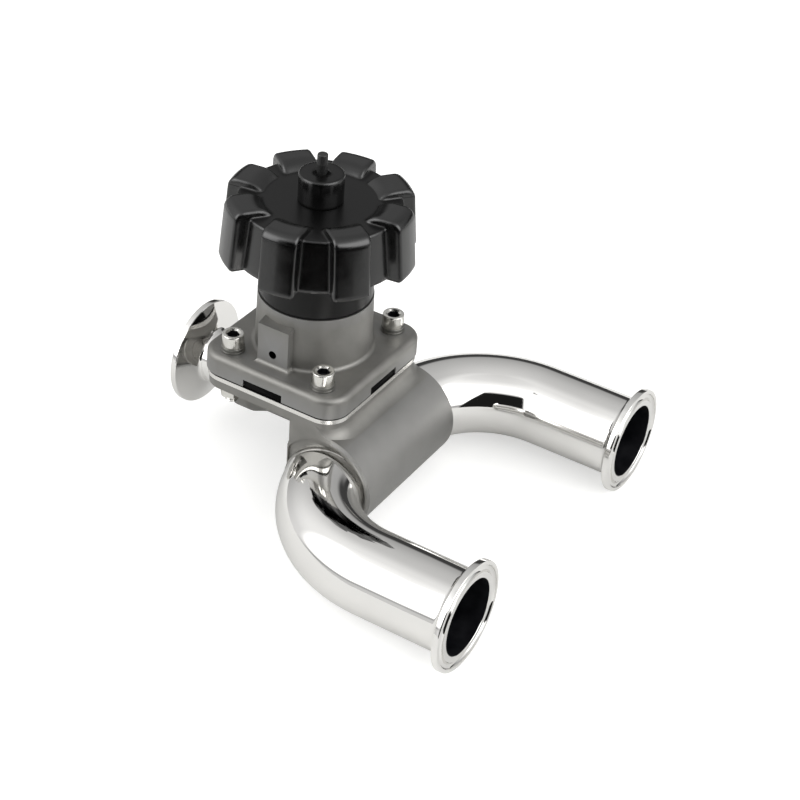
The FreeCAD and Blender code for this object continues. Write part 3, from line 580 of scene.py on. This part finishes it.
def threadRings(x, y, low, high, look, radius, outward=-1):
    perTurn = 8
    count = max(2, int((high - low) / (look["pitch"] * mm) * perTurn))
    rings = []
    for i in range(count + 1):
        z = low + (high - low) * i / count
        run = min(1, 2 * i / perTurn, 2 * (count - i) / perTurn)

        def reach(a, z=z, run=run):
            phase = (z / (look["pitch"] * mm) - a / (2 * math.pi)) % 1
            return radius + outward * look["threadDepth"] * run * (1 - abs(2 * phase - 1))
        rings.append(levelRing(x, y, z, reach, look["around"]))
    return rings


def screwSkin(x, y, tip, top):
    look = capScrew
    seat = top - look["headHeight"] * mm
    threadTop = min(tip + look["threadLength"] * mm, seat - look["plainShank"] * mm)
    shank, head, edge, foot = look["shank"], look["headRadius"], look["edge"], look["foot"]
    waist = head - look["knurlDepth"]

    def knurled(a):
        return head - look["knurlDepth"] * (0.5 - 0.5 * math.cos(look["knurls"] * a))

    def socket(a):
        return hexReach(look["flats"], a)

    def ring(height, reach):
        return levelRing(x, y, height, reach, look["around"])

    rings = [ring(tip, shank - look["threadDepth"] - look["tipRound"])]
    rings += threadRings(x, y, tip + look["tipHeight"] * mm, threadTop, look, shank)
    rings += [ring(seat - look["neck"] * mm, shank), ring(seat, shank + look["neck"]),
              ring(seat, head - foot), ring(seat + foot * mm, waist), ring(seat + 2 * foot * mm, knurled),
              ring(top - (edge + look["knurlEnd"]) * mm, knurled)]
    rings += [ring(top - drop * mm, waist - inset) for inset, drop in roundedEdge(edge, look["edgeSteps"])]
    rings.append(ring(top, look["mouth"]))
    inside = [ring(top - look["mouthDepth"] * mm, socket), ring(top - look["socketDepth"] * mm, socket),
              ring(top - (look["socketDepth"] + look["socketCone"]) * mm, look["socketFloor"])]
    return skin(rings + inside, marks=[0] * len(rings) + [1] * len(inside))


def fastenerPlaces(node, reach):
    low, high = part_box(node)
    x = (low.x + high.x) / 2
    y = (high.y - low.y) / 2 - reach * mm
    return [(x, -y), (x, y)], low.z, high.z


def makeScrews():
    for node in ("long_cap_screws", "short_cap_screws"):
        places, tip, top = fastenerPlaces(node, capScrew["headRadius"])
        skins = [screwSkin(x, y, tip, top) for x, y in places]
        makePiece(node + "_knurled", skins, "valve", node, ["fastenerSteel", "hollowShadeSteel"], sharp=30)


# Washers and nuts
washer = {"radius": 5.5, "hole": 3.3, "round": 0.2, "around": 72}
springWasher = {"radius": 5.3, "hole": 3.3, "slit": 0.8, "slitAngle": 35.0, "round": 0.25, "turns": 120}
hexNut = {"flats": 10.0, "pitch": 1.0, "threadDepth": 0.35, "thread": 2.98, "threadInset": 0.3,
          "mouth": 3.3, "chamfer": 0.45, "chamferSlope": 1.7, "levels": 14, "around": 144,
          "twist": math.radians(42)}


def washerOutline(look, low, high):
    thick = (high.z - low.z) / mm
    corners = [(look["hole"], 0), (look["radius"], 0), (look["radius"], thick), (look["hole"], thick)]
    return roundOff([(r, h, look["round"], 0) for r, h in corners], steps=3)[0]


def makeFlatWashers():
    for node in ("flat_washers", "nut_washers"):
        low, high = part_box(node)
        inset = washer["radius"] * mm
        y = (high.y - low.y) / 2 - inset
        xs = [(low.x + high.x) / 2] if node == "nut_washers" else [low.x + inset, high.x - inset]
        outline = washerOutline(washer, low, high)
        skins = [lathe(outline, Vector((x, side * y, low.z)), (0, 0, 1), steps=washer["around"])
                 for x in xs for side in (-1, 1)]
        makePiece(node + "_stamped", skins, "valve", node, ["washerSteel"])


def makeSpringWashers():
    look = springWasher
    low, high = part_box("flat_washers")
    inset = washer["radius"] * mm
    base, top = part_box("spring_washers")
    outline = washerOutline(look, base, top)
    half = math.asin(look["slit"] / 2 / look["hole"])
    angles = [math.radians(look["slitAngle"]) + half + (2 * math.pi - 2 * half) * i / look["turns"]
              for i in range(look["turns"] + 1)]
    skins = []
    for x in (low.x + inset, high.x - inset):
        for y in (low.y + inset, high.y - inset):
            skins.append(skin([[Vector((x + r * mm * math.cos(a), y + r * mm * math.sin(a), base.z + h * mm))
                                for r, h in outline] for a in angles]))
    makePiece("spring_washers_split", skins, "valve", "spring_washers", ["washerSteel"])


def nutSkin(x, y, low, high):
    look = hexNut
    height = (high - low) / mm
    corner = look["flats"] / math.sqrt(3)
    rings = []
    for i in range(look["levels"] + 1):
        level = height * (i / look["levels"])
        cone = corner - look["chamfer"] + min(level, height - level) * look["chamferSlope"]

        def reach(a, cone=cone):
            return min(hexReach(look["flats"], a, look["twist"]), cone)
        rings.append(levelRing(x, y, low + level * mm, reach, look["around"]))
    inset = look["threadInset"] * mm
    rings.append(levelRing(x, y, high, look["mouth"], look["around"]))
    rings += reversed(threadRings(x, y, low + inset, high - inset, look, look["thread"], 1))
    rings.append(levelRing(x, y, low, look["mouth"], look["around"]))
    return skin(rings, loop=True)


def makeNuts():
    places, low, high = fastenerPlaces("hex_nuts", hexNut["flats"] / 2)
    skins = [nutSkin(x, y, low, high) for x, y in places]
    makePiece("hex_nuts_threaded", skins, "valve", "hex_nuts", ["fastenerSteel"], sharp=25)


makeScrews()
makeFlatWashers()
makeSpringWashers()
makeNuts()
print("fasteners made")

# Hub cap and the indicator pin
hubCap = {"edge": 0.9, "wall": 1.5, "recessDepth": 1.35, "recess": 3.7, "recessEdge": 0.15, "hole": 2.4,
          "footEdge": 0.2, "roofRound": 0.5}
indicatorPin = {"edge": 0.7, "edgeSteps": 6, "footEdge": 0.2, "flat": 0.3, "around": 64}


def makeHubCap():
    look = hubCap
    low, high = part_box("hub_cap")
    radius, height = (high.x - low.x) / 2 / mm, (high.z - low.z) / mm
    inner, floor = radius - look["wall"], height - look["recessDepth"]
    roof = floor - look["wall"]
    corners = [(inner, 0, 0, 0), (radius, 0, look["footEdge"], 0), (radius, height, look["edge"], 0),
               (look["recess"], height, look["recessEdge"], 0), (look["recess"], floor, 0, 0),
               (look["hole"], floor, 0, 0), (look["hole"], roof, 0, 0), (inner, roof, look["roofRound"], 0)]
    moulded = lathe(roundOff(corners)[0], Vector((spindleX, 0, low.z)), (0, 0, 1))
    makePiece("hub_cap_moulded", [moulded], "wheel", "hub_cap", ["wheelPlastic"])


def makePin():
    look = indicatorPin
    low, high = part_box("indicator_pin")
    radius, height = (high.x - low.x) / 2 / mm, (high.z - low.z) / mm
    outline = [(radius - look["footEdge"], 0), (radius, look["footEdge"])]
    outline += [(radius - inset, height - drop)
                for inset, drop in roundedEdge(look["edge"], look["edgeSteps"])]
    outline.append((look["flat"], height))
    moulded = lathe(outline, Vector((spindleX, 0, low.z)), (0, 0, 1), steps=look["around"], loop=False)
    makePiece("indicator_pin_moulded", [moulded], "stem", "indicator_pin", ["pinPlastic"])


makeHubCap()
makePin()
print("hub made")

# Diaphragm: the clamped plate keeps still, and the dome round the stud is made one sector at a time
diaphragm = {"chamber": 18.5, "rise": 2.5, "thick": 4.0, "split": 18.3, "head": 5.05, "shank": 3.05,
             "headThick": 1.5, "play": 0.05, "still": 17.4, "moving": 7.0, "sectors": 8, "around": 8,
             "radial": 26, "drill": 40, "drillSides": 144}


def makeDiaphragmPlate():
    bm = bmesh.new()
    bm.from_mesh(frame["nodes"]["diaphragm"].data)
    bmesh.ops.remove_doubles(bm, verts=bm.verts, dist=mergeDistance)
    whole = bpy.data.meshes.new("diaphragm_plate")
    bm.to_mesh(whole)
    bm.free()
    split = diaphragm["split"] * mm
    drill = bmesh.new()
    bmesh.ops.create_cone(drill, cap_ends=True, segments=diaphragm["drillSides"], radius1=split,
                          radius2=split, depth=diaphragm["drill"] * mm,
                          matrix=Matrix.Translation((spindleX, 0, flangeTop)))
    drillMesh = bpy.data.meshes.new("drill")
    drill.to_mesh(drillMesh)
    drill.free()
    cutter = bpy.data.objects.new("drill", drillMesh)
    plate = bpy.data.objects.new("diaphragm_plate", whole)
    for part in (cutter, plate):
        bpy.context.scene.collection.objects.link(part)
    cut = plate.modifiers.new("hole", "BOOLEAN")
    cut.object, cut.operation, cut.solver = cutter, "DIFFERENCE", "EXACT"
    result = bpy.data.meshes.new_from_object(plate.evaluated_get(bpy.context.evaluated_depsgraph_get()))
    plate.modifiers.clear()
    plate.data = result
    bpy.data.objects.remove(cutter)
    result.materials.clear()
    result.materials.append(materials["blackRubber"])
    result.set_sharp_from_angle(angle=math.radians(seamAngle))
    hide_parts("diaphragm")
    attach(plate, "valve")


def makeDiaphragmDome():
    look = diaphragm
    ball = (look["chamber"] ** 2 + look["rise"] ** 2) / (2 * look["rise"])
    foot = (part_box("diaphragm_stud")[0].z - flangeTop) / mm

    def under(r):
        return look["rise"] - ball + math.sqrt(ball ** 2 - r ** 2)

    radii = [look["split"] * (1 - i / look["radial"]) for i in range(look["radial"] + 1)]
    head, low, high = look["head"], foot - look["play"], foot + look["headThick"] + look["play"]
    outline = [(r, under(r)) for r in radii] + [(0, low), (head, low), (head, high), (look["shank"], high)]
    outline += [(r, under(r) + look["thick"]) for r in reversed(radii) if r > look["shank"]]
    half = math.pi / look["sectors"]
    for i in range(look["sectors"]):
        middle = 2 * half * (i + 0.5)
        angles = [middle + half * (2 * k / look["around"] - 1) for k in range(look["around"] + 1)]
        rings = [[Vector((spindleX + r * mm * math.cos(a), r * mm * math.sin(a), flangeTop + h * mm))
                  for r, h in outline] for a in angles]
        piece = makePiece("diaphragm_dome_%d" % (i + 1), [skin(rings)], None, "diaphragm", ["blackRubber"])
        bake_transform(piece)


makeDiaphragmPlate()
makeDiaphragmDome()
print("diaphragm made")
